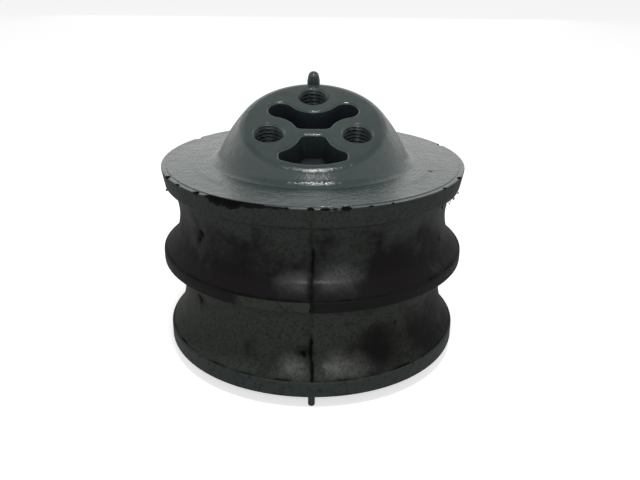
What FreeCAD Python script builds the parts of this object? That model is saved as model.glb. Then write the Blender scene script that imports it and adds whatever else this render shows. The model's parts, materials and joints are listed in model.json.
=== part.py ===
"""Engine mount: a cast hub and two round plates, held apart by two rubber springs.

Millimetres. The origin is the centre of the base plate's underside and +Z runs up the mount's axis.
The hub's bolting face leans down towards -Y, the side where the base plate carries its locating pin.
"""
import FreeCAD, Part
import math
import os

import Sketcher

# The driving dimensions: alias, value in millimetres or degrees, and what it is.
SIZES = [
    ("base_radius", 71.5, "base plate, outside"),
    ("base_thickness", 7.5, "base plate at its rim"),
    ("base_boss_radius", 36.0, "boss on the base plate, inside the lower rubber"),
    ("base_boss_top", 19.0, "top of that boss above the underside"),
    ("lower_rubber_height", 34.5, "base plate to middle plate"),
    ("middle_radius", 73.0, "middle plate, outside"),
    ("middle_thickness", 5.0, "middle plate"),
    ("upper_rubber_height", 32.0, "middle plate to flange"),
    ("flange_radius", 69.6, "flange of the hub casting"),
    ("flange_thickness", 9.0, "flange of the hub casting"),
    ("rim_round", 0.8, "rounding of the metal rims"),
    ("lip_radius", 72.0, "rubber lip round the flange, at its top"),
    ("lip_foot_radius", 70.4, "the same lip at the flange's underside"),
    ("lip_drop", 0.3, "top of the lip below the top of the flange"),
    ("lip_sill", 0.8, "top of the neck below the flange's underside"),
    ("neck_mouth_radius", 67.6, "necks just under the plate above"),
    ("neck_foot_radius", 66.9, "necks just above the flare"),
    ("neck_hollow", 31.0, "radius of the hollow curve down a neck"),
    ("flare_height", 5.8, "flare at the foot of a neck"),
    ("pad_radius", 58.6, "raised pad that the hub stands on"),
    ("pad_height", 0.4, "top of that pad above the flange"),
    ("pad_edge", 1.2, "slope at the edge of that pad, across"),
    ("hub_foot_radius", 46.0, "hub where it meets the pad, before its fillet"),
    ("hub_curve", 72.5, "radius of the curve up the hub's side"),
    ("hub_apex", 43.0, "top of that curve above the flange, before the cut"),
    ("hub_foot_fillet", 5.5, "hollow fillet round the hub's foot"),
    ("face_tilt", 21.6, "lean of the bolting face, degrees"),
    ("face_height", 24.0, "bolting face above the flange, on the axis"),
    ("face_round", 5.5, "rounding of the bolting face's edge"),
    ("bolt_spacing", 40.0, "between the two front bolt holes"),
    ("bolt_setback", 30.0, "rear bolt hole behind the front two"),
    ("bolt_rear", 10.6, "rear bolt hole behind the axis, up the face"),
    ("tap_diameter", 12.0, "tapping drill of an M14 thread"),
    ("tap_mouth", 15.2, "countersunk mouth of a tapped hole"),
    ("tap_mouth_angle", 90, "cone of that mouth, degrees"),
    ("tap_depth", 20.0, "tapped holes in the hub"),
    ("boss_radius", 13.2, "metal kept round each bolt hole between the pockets"),
    ("front_boss_radius", 14.5, "metal kept round the front bolt holes beside the front pocket"),
    ("lobe_radius", 5.9, "ends of the rear pocket"),
    ("web_thickness", 5.1, "web between the two pockets"),
    ("web_offset", 1.1, "middle of the web behind the front bolt holes"),
    ("web_corner", 3.0, "pocket corners at the web"),
    ("rear_pocket_depth", 22.0, "rear pocket, square to the face"),
    ("front_pocket_depth", 14.0, "front pocket, square to the face"),
    ("front_pocket_width", 30.0, "front pocket, widest"),
    ("front_pocket_reach", 31.2, "front pocket's outer wall from the middle of the face"),
    ("front_pocket_corner", 2.6, "outer corners of the front pocket"),
    ("face_middle", 21.5, "middle of the face in front of the rear bolt hole"),
    ("pocket_draft", 2.0, "draft of the pockets' walls, degrees"),
    ("pocket_mouth_round", 1.0, "rounding of the pockets' mouths"),
    ("pocket_floor_round", 1.5, "rounding of the pockets' floors"),
    ("nub_place", 23.4, "locating nub behind the axis, up the face"),
    ("nub_radius", 3.1, "locating nub above its root"),
    ("nub_shoulder", 0.8, "where the nub starts to taper, above the face"),
    ("nub_tip_radius", 2.2, "locating nub at its tip, before the rounding"),
    ("nub_tip_round", 1.7, "rounding of that tip"),
    ("nub_height", 5.2, "locating nub above the face"),
    ("nub_root", 9.0, "root of the nub below the face, sunk in the hub"),
    ("base_tap_circle", 22.0, "radius of the circle of tapped holes in the base"),
    ("base_tap_depth", 15.0, "tapped holes in the base"),
    ("pin_radius", 1.5, "locating pin, free end"),
    ("pin_shank_radius", 1.8, "locating pin, where it is pressed into the base plate"),
    ("pin_length", 12.5, "locating pin, end to end"),
    ("pin_reach", 5.5, "locating pin below the underside"),
    ("pin_place", 68.4, "locating pin in front of the axis"),
    ("pin_chamfer", 0.4, "ends of the locating pin"),
]

# Tapped holes in the base plate, evenly spaced on their circle.
BASE_TAPS = 3

# How far off a surface a point may lie and still count as on it.
TOUCHING = 1e-3

# How far along each side of a corner, towards its middle, a fillet is asked for.
FILLET_HINT = 0.2


class Term:
    """A length worked out from the sheet: its value now and the expression that keeps it."""

    def __init__(self, value, text):
        self.value = value
        self.text = text

    @staticmethod
    def of(number):
        """A term from a plain number; a term is passed through."""
        return number if isinstance(number, Term) else Term(float(number), repr(float(number)))

    def _join(self, other, sign, value):
        """The term of two others with a sign between them."""
        return Term(value, f"({self.text} {sign} {other.text})")

    def __add__(self, other):
        other = Term.of(other)
        return self._join(other, "+", self.value + other.value)

    def __sub__(self, other):
        other = Term.of(other)
        return self._join(other, "-", self.value - other.value)

    def __mul__(self, other):
        other = Term.of(other)
        return self._join(other, "*", self.value * other.value)

    def __truediv__(self, other):
        other = Term.of(other)
        return self._join(other, "/", self.value / other.value)

    def __neg__(self):
        return Term(-self.value, f"(-{self.text})")

    def sin(self):
        return Term(math.sin(math.radians(self.value)), f"sin({self.text} * 1 deg)")

    def cos(self):
        return Term(math.cos(math.radians(self.value)), f"cos({self.text} * 1 deg)")

    def tan(self):
        return Term(math.tan(math.radians(self.value)), f"tan({self.text} * 1 deg)")


ZERO = Term.of(0)
SIZE = {alias: Term(value, f"sizes.{alias}") for alias, value, _ in SIZES}

# Heights up the axis, from the underside of the base plate.
BASE_TOP = SIZE["base_thickness"]
MIDDLE_FOOT = BASE_TOP + SIZE["lower_rubber_height"]
MIDDLE_TOP = MIDDLE_FOOT + SIZE["middle_thickness"]
FLANGE_FOOT = MIDDLE_TOP + SIZE["upper_rubber_height"]
FLANGE_TOP = FLANGE_FOOT + SIZE["flange_thickness"]
PAD_TOP = FLANGE_TOP + SIZE["pad_height"]
FACE_ON_AXIS = FLANGE_TOP + SIZE["face_height"]


class Corner:
    """A corner of an outline, and how the outline leaves it.

    rounded is the radius of a fillet put on the corner. arc is the radius of an arc to the next
    corner: positive bends left of the way there, negative bends right, None is a straight line.
    """

    def __init__(self, across, up, rounded=None, arc=None):
        self.across = Term.of(across)
        self.up = Term.of(up)
        self.rounded = rounded
        self.arc = arc

    def point(self):
        """Where the corner is now, in its sketch."""
        return FreeCAD.Vector(self.across.value, self.up.value, 0)


def write_sheet(doc):
    """Puts every driving dimension in the sheet, under its alias."""
    sheet = doc.addObject("Spreadsheet::Sheet", "sizes")
    for row, (alias, value, note) in enumerate(SIZES, start=1):
        sheet.set(f"A{row}", note)
        sheet.set(f"B{row}", str(value))
        sheet.setAlias(f"B{row}", alias)
    doc.recompute()


def new_body(doc, label):
    """An empty body whose label names its file."""
    body = doc.addObject("PartDesign::Body", label)
    body.Label = label
    return body


def new_sketch(body, name, plane):
    """A sketch on one of the body's own origin planes."""
    sketch = body.newObject("Sketcher::SketchObject", name)
    origin_plane = next(item for item in body.Origin.OriginFeatures if item.Role == plane)
    sketch.AttachmentSupport = [(origin_plane, "")]
    sketch.MapMode = "FlatFace"
    return sketch


def new_face_sketch(body, name):
    """A sketch on the bolting face: its X runs across, its Y up the slope from the axis."""
    sketch = new_sketch(body, name, "XY_Plane")
    tilt = SIZE["face_tilt"]
    turn = FreeCAD.Rotation(FreeCAD.Vector(1, 0, 0), tilt.value)
    sketch.AttachmentOffset = FreeCAD.Placement(FreeCAD.Vector(0, 0, FACE_ON_AXIS.value), turn)
    sketch.setExpression(".AttachmentOffset.Base.z", FACE_ON_AXIS.text)
    sketch.setExpression(".AttachmentOffset.Rotation.Angle", tilt.text)
    return sketch


def bind(item, name, term):
    """Ties a property to the sheet."""
    item.setExpression(name, term.text)


def constrain(sketch, kind, *where, term):
    """Adds a dimension to a sketch and ties it to the sheet."""
    index = sketch.addConstraint(Sketcher.Constraint(kind, *where, term.value))
    bind(sketch, f"Constraints[{index}]", term)


def place(sketch, geometry, end, across, up):
    """Holds one end (1, 2) or the centre (3) of a piece of geometry at a place in the sketch."""
    constrain(sketch, "DistanceX", -1, 1, geometry, end, term=Term.of(across))
    constrain(sketch, "DistanceY", -1, 1, geometry, end, term=Term.of(up))


def arc_between(start, finish, radius):
    """The shorter arc from start to finish, and which of its ends the outline enters and leaves by."""
    chord = finish - start
    left = FreeCAD.Vector(-chord.y, chord.x, 0).normalize()
    sagitta_side = math.copysign(1, radius)
    offset = math.sqrt(radius * radius - chord.Length ** 2 / 4)
    centre = (start + finish) * 0.5 + left * offset * sagitta_side
    first, last = (start, finish) if radius > 0 else (finish, start)
    angles = [math.atan2(p.y - centre.y, p.x - centre.x) for p in (first, last)]
    circle = Part.Circle(centre, FreeCAD.Vector(0, 0, 1), abs(radius))
    return Part.ArcOfCircle(circle, *angles), (1, 2) if radius > 0 else (2, 1)


def draw_outline(sketch, corners):
    """Draws a closed outline through the corners, each held by its two distances."""
    ends = []
    for corner, following in zip(corners, corners[1:] + corners[:1]):
        if corner.arc is None:
            sketch.addGeometry(Part.LineSegment(corner.point(), following.point()))
            ends.append((1, 2))
        else:
            arc, entry = arc_between(corner.point(), following.point(), corner.arc.value)
            sketch.addGeometry(arc)
            ends.append(entry)
    count = len(corners)
    for index in range(count):
        onward = (index + 1) % count
        sketch.addConstraint(
            Sketcher.Constraint("Coincident", index, ends[index][1], onward, ends[onward][0]))
    for index, corner in enumerate(corners):
        place(sketch, index, ends[index][0], corner.across, corner.up)
        if corner.arc is not None:
            radius = corner.arc if corner.arc.value > 0 else -corner.arc
            constrain(sketch, "Radius", index, term=radius)
    for index, corner in enumerate(corners):
        if corner.rounded is not None:
            round_corner(sketch, index, ends[index][0], corner.rounded)


def round_corner(sketch, geometry, end, radius):
    """Rounds the corner at one end of a line whose neighbour is a line too."""
    sketch.fillet(geometry, end, radius.value, True, True)
    bind_new_arc(sketch, radius)


def round_between(sketch, first, second, near, radius):
    """Rounds the corner that two pieces of geometry make near a point."""
    sides = [sketch.Geometry[index].toShape() for index in (first, second)]
    hints = []
    for side in sides:
        near_end = min((vertex.Point for vertex in side.Vertexes), key=near.distanceToPoint)
        first_parameter = side.Curve.parameter(near_end)
        middle = (side.FirstParameter + side.LastParameter) / 2
        hints.append(side.Curve.value(first_parameter + (middle - first_parameter) * FILLET_HINT))
    sketch.fillet(first, second, hints[0], hints[1], radius.value, True)
    bind_new_arc(sketch, radius)


def bind_new_arc(sketch, radius):
    """Ties the radius of the arc that was added last."""
    added = max(i for i, item in enumerate(sketch.Geometry) if isinstance(item, Part.ArcOfCircle))
    constrain(sketch, "Radius", added, term=radius)


def turn(body, name, corners):
    """Turns an outline in the XZ plane round the mount's axis."""
    sketch = new_sketch(body, f"{name}_outline", "XZ_Plane")
    draw_outline(sketch, corners)
    turned = body.newObject("PartDesign::Revolution", name)
    turned.Profile = sketch
    turned.ReferenceAxis = (sketch, ["V_Axis"])
    turned.Angle = 360
    return turned


def edges_where(shape, test, samples=7):
    """Names of the edges whose every sampled point passes the test."""
    names = []
    for index, edge in enumerate(shape.Edges, start=1):
        if all(test(point) for point in edge.discretize(samples)):
            names.append(f"Edge{index}")
    return names


def fillet(body, name, test, radius):
    """Rounds the edges of the body's last shape that pass a test."""
    doc = body.Document
    doc.recompute()
    base = body.Tip
    rounded = body.newObject("PartDesign::Fillet", name)
    rounded.Base = (base, edges_where(base.Shape, test))
    bind(rounded, "Radius", radius)
    doc.recompute()
    return rounded


def add_holes(body, name, sketch, depth):
    """Tapping-size holes with countersunk mouths at the circles of a sketch."""
    body.Document.recompute()
    hole = body.newObject("PartDesign::Hole", name)
    hole.Profile = sketch
    body.Document.recompute()
    hole.DepthType = "Dimension"
    hole.DrillPoint = "Angled"
    hole.HoleCutType = "Countersink"
    hole.HoleCutCustomValues = True
    bind(hole, "HoleCutCountersinkAngle", SIZE["tap_mouth_angle"])
    bind(hole, "Diameter", SIZE["tap_diameter"])
    bind(hole, "Depth", depth)
    bind(hole, "HoleCutDiameter", SIZE["tap_mouth"])
    return hole


def add_circle(sketch, across, up, radius):
    """Draws a circle, held by its centre and radius."""
    across, up = Term.of(across), Term.of(up)
    centre = FreeCAD.Vector(across.value, up.value, 0)
    circle = sketch.addGeometry(Part.Circle(centre, FreeCAD.Vector(0, 0, 1), radius.value))
    place(sketch, circle, 3, across, up)
    constrain(sketch, "Radius", circle, term=radius)


def neck(foot, foot_radius, top):
    """The outside of a rubber spring, upwards: a flare off the plate below and a hollow neck."""
    return [
        Corner(foot_radius, foot),
        Corner(SIZE["neck_foot_radius"], foot + SIZE["flare_height"], arc=-SIZE["neck_hollow"]),
        Corner(SIZE["neck_mouth_radius"], top),
    ]


def make_base_plate(doc):
    """The round plate at the foot: a boss inside, tapped holes from below, and the pin's bore."""
    body = new_body(doc, "base_plate")
    turn(body, "plate", [
        Corner(0, 0),
        Corner(SIZE["base_radius"], 0, rounded=SIZE["rim_round"]),
        Corner(SIZE["base_radius"], BASE_TOP, rounded=SIZE["rim_round"]),
        Corner(SIZE["base_boss_radius"], BASE_TOP),
        Corner(SIZE["base_boss_radius"], SIZE["base_boss_top"]),
        Corner(0, SIZE["base_boss_top"]),
    ])
    seat = new_sketch(body, "pin_seat", "XY_Plane")
    add_circle(seat, 0, -SIZE["pin_place"], SIZE["pin_shank_radius"])
    drilled = body.newObject("PartDesign::Pocket", "pin_bore")
    drilled.Profile = seat
    drilled.Type = "ThroughAll"
    drilled.Reversed = True

    mouth = new_sketch(body, "tap_mouth", "XY_Plane")
    add_circle(mouth, 0, SIZE["base_tap_circle"], SIZE["tap_diameter"] / 2)
    tapped = add_holes(body, "tapped_hole", mouth, SIZE["base_tap_depth"])
    tapped.Reversed = True
    doc.recompute()
    ring = body.newObject("PartDesign::PolarPattern", "tapped_holes")
    ring.Originals = [tapped]
    ring.Axis = (mouth, ["N_Axis"])
    ring.Angle = 360
    ring.Occurrences = BASE_TAPS
    body.Tip = ring
    return body


def make_locating_pin(doc):
    """A shouldered dowel, pressed up into the base plate near its front edge."""
    body = new_body(doc, "locating_pin")
    foot = -SIZE["pin_reach"]
    head = foot + SIZE["pin_length"]
    turned = turn(body, "dowel", [
        Corner(0, foot),
        Corner(SIZE["pin_radius"] - SIZE["pin_chamfer"], foot),
        Corner(SIZE["pin_radius"], foot + SIZE["pin_chamfer"]),
        Corner(SIZE["pin_radius"], 0),
        Corner(SIZE["pin_shank_radius"], 0),
        Corner(SIZE["pin_shank_radius"], head - SIZE["pin_chamfer"]),
        Corner(SIZE["pin_shank_radius"] - SIZE["pin_chamfer"], head),
        Corner(0, head),
    ])
    body.Tip = turned
    bind(body, ".Placement.Base.y", -SIZE["pin_place"])
    return body


def make_lower_rubber(doc):
    """The spring between the base plate, whose boss it fits over, and the middle plate."""
    body = new_body(doc, "lower_rubber")
    turn(body, "spring", [
        Corner(0, SIZE["base_boss_top"]),
        Corner(SIZE["base_boss_radius"], SIZE["base_boss_top"]),
        Corner(SIZE["base_boss_radius"], BASE_TOP),
        *neck(BASE_TOP, SIZE["base_radius"] - SIZE["rim_round"], MIDDLE_FOOT),
        Corner(0, MIDDLE_FOOT),
    ])
    return body


def make_middle_plate(doc):
    """The plain plate between the two springs."""
    body = new_body(doc, "middle_plate")
    turn(body, "plate", [
        Corner(0, MIDDLE_FOOT),
        Corner(SIZE["middle_radius"], MIDDLE_FOOT, rounded=SIZE["rim_round"]),
        Corner(SIZE["middle_radius"], MIDDLE_TOP, rounded=SIZE["rim_round"]),
        Corner(0, MIDDLE_TOP),
    ])
    return body


def make_upper_rubber(doc):
    """The upper spring, with the lip that wraps the rim of the flange above it."""
    body = new_body(doc, "upper_rubber")
    lip_top = FLANGE_TOP - SIZE["lip_drop"]
    turn(body, "spring", [
        Corner(0, MIDDLE_TOP),
        *neck(MIDDLE_TOP, SIZE["middle_radius"] - SIZE["rim_round"], FLANGE_FOOT - SIZE["lip_sill"]),
        Corner(SIZE["lip_foot_radius"], FLANGE_FOOT, rounded=SIZE["rim_round"]),
        Corner(SIZE["lip_radius"], lip_top, rounded=SIZE["rim_round"]),
        Corner(SIZE["flange_radius"], lip_top),
        Corner(SIZE["flange_radius"], FLANGE_FOOT),
        Corner(0, FLANGE_FOOT),
    ])
    return body


def below_face(point):
    """How far a point lies below the plane of the bolting face, square to it."""
    tilt = math.radians(SIZE["face_tilt"].value)
    return point.y * math.sin(tilt) - (point.z - FACE_ON_AXIS.value) * math.cos(tilt)


def on_bolting_face(point):
    """Whether a point lies in the plane of the bolting face."""
    return abs(below_face(point)) < TOUCHING


def on_pocket_mouth(point):
    """Whether a point lies on the mouth of a pocket, and not on the edge of the whole face."""
    tilt = math.radians(SIZE["face_tilt"].value)
    middle = SIZE["bolt_rear"] - SIZE["face_middle"]
    across = math.hypot(point.x, point.y / math.cos(tilt) - middle.value)
    return on_bolting_face(point) and across < SIZE["front_pocket_reach"].value + TOUCHING


def on_hub_foot(point):
    """Whether a point lies where the hub's side meets its pad."""
    across = math.hypot(point.x, point.y)
    out_on_pad = (SIZE["hub_foot_radius"] + SIZE["pad_radius"]) / 2
    return abs(point.z - PAD_TOP.value) < TOUCHING and across < out_on_pad.value


def cut_bolting_face(body):
    """Slices the dome off at the leaning plane, with the blade drawn in the YZ plane."""
    reach = SIZE["hub_foot_radius"] + SIZE["hub_foot_fillet"]
    rise = reach * SIZE["face_tilt"].tan()
    blade = new_sketch(body, "above_the_face", "YZ_Plane")
    draw_outline(blade, [
        Corner(-reach, FACE_ON_AXIS - rise),
        Corner(reach, FACE_ON_AXIS + rise),
        Corner(reach, FACE_ON_AXIS + rise + reach),
        Corner(-reach, FACE_ON_AXIS + rise + reach),
    ])
    cut = body.newObject("PartDesign::Pocket", "bolting_face")
    cut.Profile = blade
    cut.Type = "ThroughAll"
    cut.SideType = "Symmetric"


def add_nub(body):
    """The rounded locating nub that stands up behind the rear bolt hole, square to the face."""
    tilt, along = SIZE["face_tilt"], SIZE["nub_place"]
    foot_y = along * tilt.cos()
    foot_z = FACE_ON_AXIS + along * tilt.sin()
    sketch = new_sketch(body, "nub_outline", "YZ_Plane")
    sketch.AttachmentOffset = FreeCAD.Placement(
        FreeCAD.Vector(foot_y.value, foot_z.value, 0),
        FreeCAD.Rotation(FreeCAD.Vector(0, 0, 1), tilt.value))
    bind(sketch, ".AttachmentOffset.Base.x", foot_y)
    bind(sketch, ".AttachmentOffset.Base.y", foot_z)
    bind(sketch, ".AttachmentOffset.Rotation.Angle", tilt)
    draw_outline(sketch, [
        Corner(0, -SIZE["nub_root"]),
        Corner(SIZE["nub_radius"], -SIZE["nub_root"]),
        Corner(SIZE["nub_radius"], SIZE["nub_shoulder"]),
        Corner(SIZE["nub_tip_radius"], SIZE["nub_height"], rounded=SIZE["nub_tip_round"]),
        Corner(0, SIZE["nub_height"]),
    ])
    nub = body.newObject("PartDesign::Revolution", "nub")
    nub.Profile = sketch
    nub.ReferenceAxis = (sketch, ["V_Axis"])
    nub.Angle = 360


def bolt_places():
    """The three bolt holes in the face's own sketch: rear, front right, front left."""
    rear, half = SIZE["bolt_rear"], SIZE["bolt_spacing"] / 2
    front = rear - SIZE["bolt_setback"]
    return [(ZERO, rear), (half, front), (-half, front)]


def vector(across, up):
    """A place in a sketch, from its two terms."""
    return FreeCAD.Vector(across.value, up.value, 0)


def add_arc(sketch, centre, radius, start, finish):
    """An arc, anticlockwise about its centre from the direction of start to that of finish."""
    angles = [math.atan2(p.y - centre.y, p.x - centre.x) for p in (start, finish)]
    circle = Part.Circle(centre, FreeCAD.Vector(0, 0, 1), radius.value)
    return sketch.addGeometry(Part.ArcOfCircle(circle, *angles))


def on_circle(centre, radius, up, side):
    """The point of a circle at a given height, on its right (1) or left (-1) side."""
    rise = up.value - centre.y
    return FreeCAD.Vector(centre.x + side * math.sqrt(radius.value ** 2 - rise ** 2), up.value, 0)


def draw_rear_pocket(sketch):
    """A pocket that winds round the three bosses: two lobes, and a neck behind the web."""
    boss, lobe = SIZE["boss_radius"], SIZE["lobe_radius"]
    rear, right, left = [vector(*where) for where in bolt_places()]
    web_back = bolt_places()[1][1] + SIZE["web_offset"] + SIZE["web_thickness"] / 2

    # A lobe touches the rear boss and a front one, so it is centred on the line midway between.
    midway, apart = (rear + right) * 0.5, (right - rear).Length
    outward = FreeCAD.Vector(-(right - rear).y, (right - rear).x, 0).normalize()
    reach = math.sqrt((boss.value + lobe.value) ** 2 - (apart / 2) ** 2)
    right_lobe = midway + outward * reach
    left_lobe = FreeCAD.Vector(-right_lobe.x, right_lobe.y, 0)
    right_web = on_circle(right, boss, web_back, -1)
    left_web = on_circle(left, boss, web_back, 1)

    rear_arc = add_arc(sketch, rear, boss, left_lobe, right_lobe)
    right_end = add_arc(sketch, right_lobe, lobe, right, rear)
    right_arc = add_arc(sketch, right, boss, right_lobe, right_web)
    web = sketch.addGeometry(Part.LineSegment(right_web, left_web))
    left_arc = add_arc(sketch, left, boss, left_web, left_lobe)
    left_end = add_arc(sketch, left_lobe, lobe, rear, left)

    for first, first_end, second, second_end in (
            (rear_arc, 2, right_end, 2), (right_end, 1, right_arc, 1),
            (left_arc, 2, left_end, 2), (left_end, 1, rear_arc, 1)):
        sketch.addConstraint(Sketcher.Constraint("Tangent", first, first_end, second, second_end))
    sketch.addConstraint(Sketcher.Constraint("Coincident", right_arc, 2, web, 1))
    sketch.addConstraint(Sketcher.Constraint("Coincident", web, 2, left_arc, 1))
    sketch.addConstraint(Sketcher.Constraint("Horizontal", web))
    constrain(sketch, "DistanceY", -1, 1, web, 1, term=web_back)
    for arc, where in zip((rear_arc, right_arc, left_arc), bolt_places()):
        place(sketch, arc, 3, *where)
        constrain(sketch, "Radius", arc, term=boss)
    for arc in (right_end, left_end):
        constrain(sketch, "Radius", arc, term=lobe)
    round_between(sketch, web, right_arc, right_web, SIZE["web_corner"])
    round_between(sketch, web, left_arc, left_web, SIZE["web_corner"])


def draw_front_pocket(sketch):
    """A pocket between the two front bosses, the web and an outer wall round the face."""
    boss, half = SIZE["front_boss_radius"], SIZE["front_pocket_width"] / 2
    _, right, left = [vector(*where) for where in bolt_places()]
    middle = SIZE["bolt_rear"] - SIZE["face_middle"]
    web_front = bolt_places()[1][1] + SIZE["web_offset"] - SIZE["web_thickness"] / 2
    reach = SIZE["front_pocket_reach"]

    centre = vector(ZERO, middle)
    drop = math.sqrt(boss.value ** 2 - (right.x - half.value) ** 2)
    wall_drop = math.sqrt(reach.value ** 2 - half.value ** 2)
    right_top, left_top = on_circle(right, boss, web_front, -1), on_circle(left, boss, web_front, 1)
    right_side = FreeCAD.Vector(half.value, right.y - drop, 0)
    left_side = FreeCAD.Vector(-half.value, left.y - drop, 0)
    right_foot = FreeCAD.Vector(half.value, centre.y - wall_drop, 0)
    left_foot = FreeCAD.Vector(-half.value, centre.y - wall_drop, 0)

    web = sketch.addGeometry(Part.LineSegment(left_top, right_top))
    right_arc = add_arc(sketch, right, boss, right_top, right_side)
    right_wall = sketch.addGeometry(Part.LineSegment(right_side, right_foot))
    outer = add_arc(sketch, centre, reach, left_foot, right_foot)
    left_wall = sketch.addGeometry(Part.LineSegment(left_foot, left_side))
    left_arc = add_arc(sketch, left, boss, left_side, left_top)

    for first, first_end, second, second_end in (
            (web, 2, right_arc, 1), (right_arc, 2, right_wall, 1), (right_wall, 2, outer, 2),
            (outer, 1, left_wall, 1), (left_wall, 2, left_arc, 1), (left_arc, 2, web, 1)):
        sketch.addConstraint(Sketcher.Constraint("Coincident", first, first_end, second, second_end))
    sketch.addConstraint(Sketcher.Constraint("Horizontal", web))
    constrain(sketch, "DistanceY", -1, 1, web, 1, term=web_front)
    for wall, across in ((right_wall, half), (left_wall, -half)):
        sketch.addConstraint(Sketcher.Constraint("Vertical", wall))
        constrain(sketch, "DistanceX", -1, 1, wall, 1, term=across)
    place(sketch, outer, 3, ZERO, middle)
    constrain(sketch, "Radius", outer, term=reach)
    for arc, where in zip((right_arc, left_arc), bolt_places()[1:]):
        place(sketch, arc, 3, *where)
        constrain(sketch, "Radius", arc, term=boss)
    round_between(sketch, web, right_arc, right_top, SIZE["web_corner"])
    round_between(sketch, web, left_arc, left_top, SIZE["web_corner"])
    round_between(sketch, right_wall, right_arc, right_side, SIZE["front_pocket_corner"])
    round_between(sketch, left_wall, left_arc, left_side, SIZE["front_pocket_corner"])
    round_between(sketch, right_wall, outer, right_foot, SIZE["front_pocket_corner"])
    round_between(sketch, left_wall, outer, left_foot, SIZE["front_pocket_corner"])


def sink_pocket(body, name, draw, depth):
    """Sinks a drafted blind pocket square to the bolting face and rounds its floor."""
    sketch = new_face_sketch(body, f"{name}_outline")
    draw(sketch)
    pocket = body.newObject("PartDesign::Pocket", name)
    pocket.Profile = sketch
    pocket.Type = "Length"
    bind(pocket, "Length", depth)
    bind(pocket, "TaperAngle", -SIZE["pocket_draft"])
    fillet(body, f"{name}_floor", lambda point: abs(below_face(point) - depth.value) < TOUCHING,
           SIZE["pocket_floor_round"])


def make_hub_casting(doc):
    """Flange, dome and bolting face in one casting, with its pockets and tapped holes."""
    body = new_body(doc, "hub_casting")
    turn(body, "dome_and_flange", [
        Corner(0, FLANGE_FOOT),
        Corner(SIZE["flange_radius"], FLANGE_FOOT),
        Corner(SIZE["flange_radius"], FLANGE_TOP, rounded=SIZE["lip_drop"]),
        Corner(SIZE["pad_radius"], FLANGE_TOP),
        Corner(SIZE["pad_radius"] - SIZE["pad_edge"], PAD_TOP),
        Corner(SIZE["hub_foot_radius"], PAD_TOP, arc=SIZE["hub_curve"]),
        Corner(0, FLANGE_TOP + SIZE["hub_apex"]),
    ])
    cut_bolting_face(body)
    fillet(body, "face_edge", on_bolting_face, SIZE["face_round"])
    fillet(body, "hub_foot", on_hub_foot, SIZE["hub_foot_fillet"])
    add_nub(body)
    sink_pocket(body, "rear_pocket", draw_rear_pocket, SIZE["rear_pocket_depth"])
    sink_pocket(body, "front_pocket", draw_front_pocket, SIZE["front_pocket_depth"])
    fillet(body, "pocket_mouths", on_pocket_mouth, SIZE["pocket_mouth_round"])
    mouths = new_face_sketch(body, "bolt_mouths")
    for where in bolt_places():
        add_circle(mouths, *where, SIZE["tap_diameter"] / 2)
    add_holes(body, "bolt_holes", mouths, SIZE["tap_depth"])
    return body


PARTS = [
    make_base_plate,
    make_locating_pin,
    make_lower_rubber,
    make_middle_plate,
    make_upper_rubber,
    make_hub_casting,
]


def check(doc):
    """Stops if any object of the document failed to build."""
    for item in doc.Objects:
        if "Invalid" in item.State or "Error" in item.State:
            raise RuntimeError(f"{item.Name} failed: {item.State}")


def export(bodies):
    """Writes each body's shape to a file of its own."""
    os.makedirs("parts", exist_ok=True)
    for body in bodies:
        shape = body.Shape
        if shape.isNull() or not shape.isValid():
            raise RuntimeError(f"{body.Label} has no valid shape")
        shape.exportStep(os.path.join("parts", f"{body.Label}.step"))
        print(f"{body.Label}: {shape.Volume / 1000:.1f} cm3, {len(shape.Faces)} faces")


def main():
    """Builds the document and writes its bodies."""
    doc = FreeCAD.newDocument("engine_mount")
    write_sheet(doc)
    bodies = [make(doc) for make in PARTS]
    doc.recompute()
    check(doc)
    export(bodies)


main()
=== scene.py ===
"""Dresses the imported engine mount: cut threads, moulded rubber with its seams and tears, and paint.

Everything is in metres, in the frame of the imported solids: +Z up the axis, the front at -Y, where
the moulding seam and the locating pin are. Angles round the axis are measured from that front,
towards +X. The hub and the base plate start from their solids. The springs and the middle plate
are turned anew from the solids' sizes, fine enough to carry seams and chips.
"""

from __future__ import annotations

import json
import logging
import math
from dataclasses import dataclass, field
from enum import Enum
from functools import cached_property
from typing import Callable, Iterable, Sequence

import bmesh
import bpy
import numpy as np
from mathutils import Matrix, Vector, noise
from mathutils.bvhtree import BVHTree

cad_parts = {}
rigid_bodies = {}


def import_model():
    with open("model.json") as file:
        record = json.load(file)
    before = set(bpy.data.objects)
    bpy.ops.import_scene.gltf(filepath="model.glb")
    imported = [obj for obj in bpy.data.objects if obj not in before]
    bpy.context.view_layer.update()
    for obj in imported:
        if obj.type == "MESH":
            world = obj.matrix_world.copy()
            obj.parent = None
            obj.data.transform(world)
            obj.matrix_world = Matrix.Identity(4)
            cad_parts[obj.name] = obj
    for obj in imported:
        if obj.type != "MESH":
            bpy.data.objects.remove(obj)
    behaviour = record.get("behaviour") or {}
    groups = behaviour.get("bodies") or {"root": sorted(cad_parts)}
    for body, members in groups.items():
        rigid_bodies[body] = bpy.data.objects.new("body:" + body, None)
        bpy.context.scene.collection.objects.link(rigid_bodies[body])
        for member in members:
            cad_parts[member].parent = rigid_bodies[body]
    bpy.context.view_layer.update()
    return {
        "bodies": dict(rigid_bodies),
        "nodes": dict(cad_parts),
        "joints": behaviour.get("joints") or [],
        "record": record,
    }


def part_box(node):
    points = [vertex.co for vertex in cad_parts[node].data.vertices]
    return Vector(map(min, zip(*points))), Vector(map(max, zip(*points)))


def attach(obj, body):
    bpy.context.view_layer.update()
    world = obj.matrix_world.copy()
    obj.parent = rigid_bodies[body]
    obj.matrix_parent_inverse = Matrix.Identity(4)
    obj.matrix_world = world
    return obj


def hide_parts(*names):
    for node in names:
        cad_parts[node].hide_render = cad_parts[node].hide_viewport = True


LOG = logging.getLogger("engine_mount")
BODY = "root"
MM = 0.001
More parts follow.
